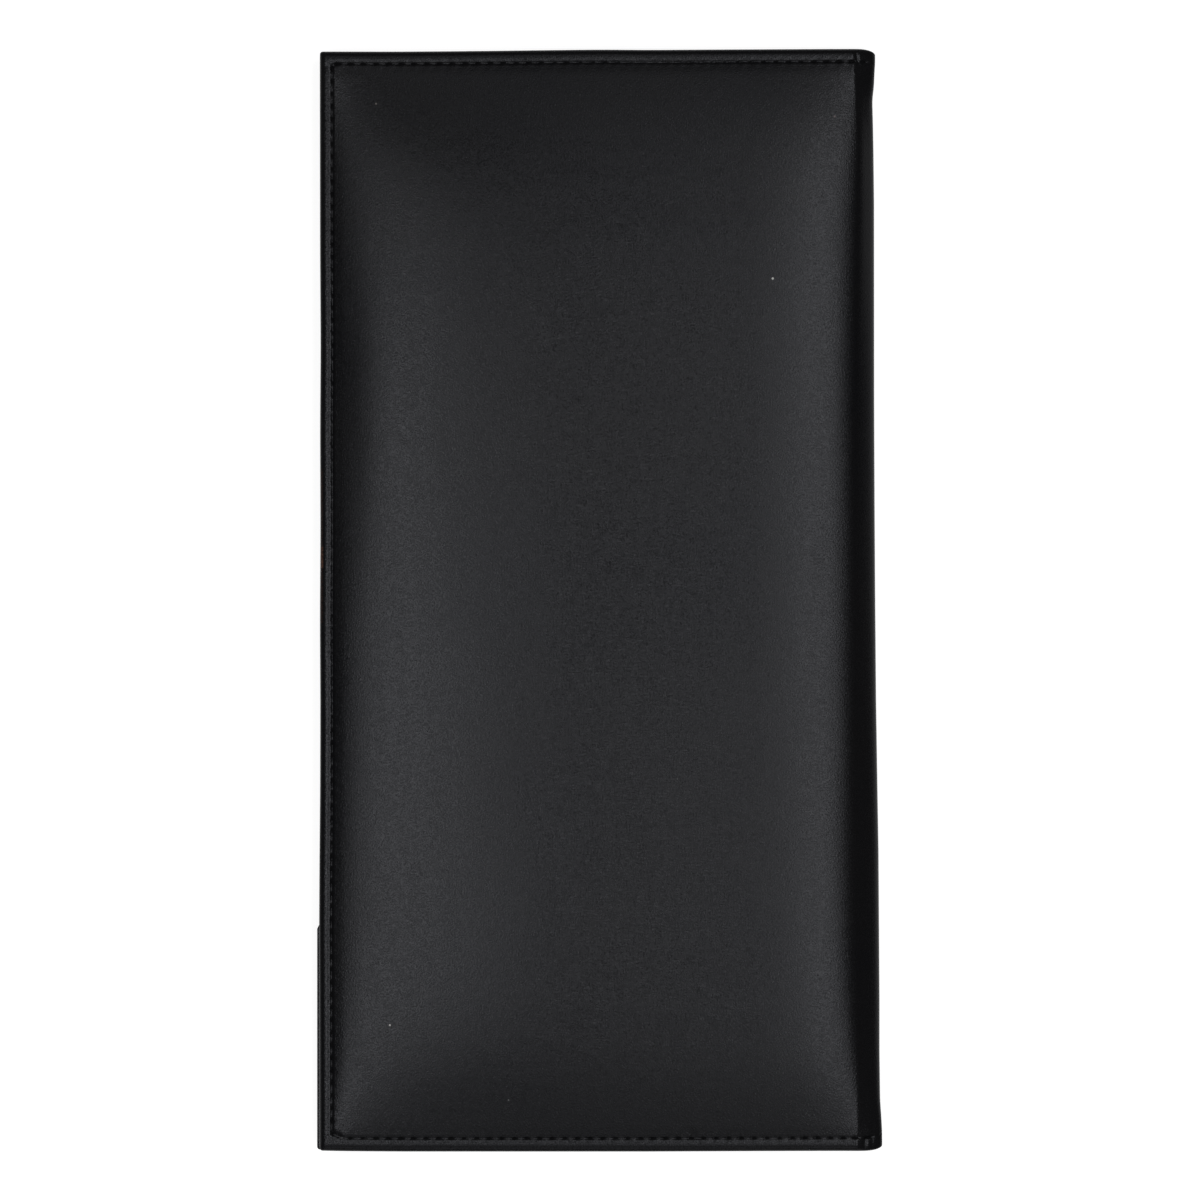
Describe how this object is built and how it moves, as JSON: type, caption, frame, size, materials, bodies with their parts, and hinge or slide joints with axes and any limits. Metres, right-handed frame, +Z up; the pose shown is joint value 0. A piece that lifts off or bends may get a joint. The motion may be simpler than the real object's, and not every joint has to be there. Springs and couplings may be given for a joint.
{
  "type": "guest check presenter",
  "caption": "Closed book-style guest check presenter: slim padded covers in black stitched leatherette on a soft rolled spine, with check, card and tip pockets inside.",
  "frame": {"origin": "on the plane that the closed folder lies on, under the middle of its outline", "axes": "+X across the folder towards the spine, +Y along its long side towards the pockets' mouths, +Z up through its thickness towards the front cover"},
  "size_m": [0.1286, 0.254, 0.014],
  "materials": {
    "leatherette": "satin",
    "foam": "matte",
    "board": "matte",
    "lining": "matte",
    "pocket_leatherette": "satin",
    "thread": "satin"
  },
  "bodies": {
    "back_cover": {"back_skin": "leatherette", "back_foam_pad": "foam", "back_board": "board", "back_lining": "lining", "check_pocket": "pocket_leatherette", "back_needle_thread": "thread", "back_bobbin_thread": "thread", "check_pocket_thread": "thread"},
    "spine": {"spine_skin": "leatherette", "spine_lining": "lining", "spine_needle_thread": "thread", "spine_bobbin_thread": "thread"},
    "front_cover": {"front_skin": "leatherette", "front_foam_pad": "foam", "front_board": "board", "front_lining": "lining", "card_pocket": "pocket_leatherette", "tip_pocket": "pocket_leatherette", "front_needle_thread": "thread", "front_bobbin_thread": "thread", "card_pocket_thread": "thread", "tip_pocket_thread": "thread"}
  },
  "joints": [
    {"name": "back_crease", "type": "hinge", "parent": "back_cover", "child": "spine", "pos_m": [0.06309, 0, 0.00339], "axis": [0, 1, 0], "range_deg": [0, 90]},
    {"name": "front_crease", "type": "hinge", "parent": "spine", "child": "front_cover", "pos_m": [0.06309, 0, 0.01061], "axis": [0, 1, 0], "range_deg": [0, 90]}
  ],
  "couplings": [
    {"joint": "back_crease", "follows": "front_crease", "ratio": 1}
  ]
}
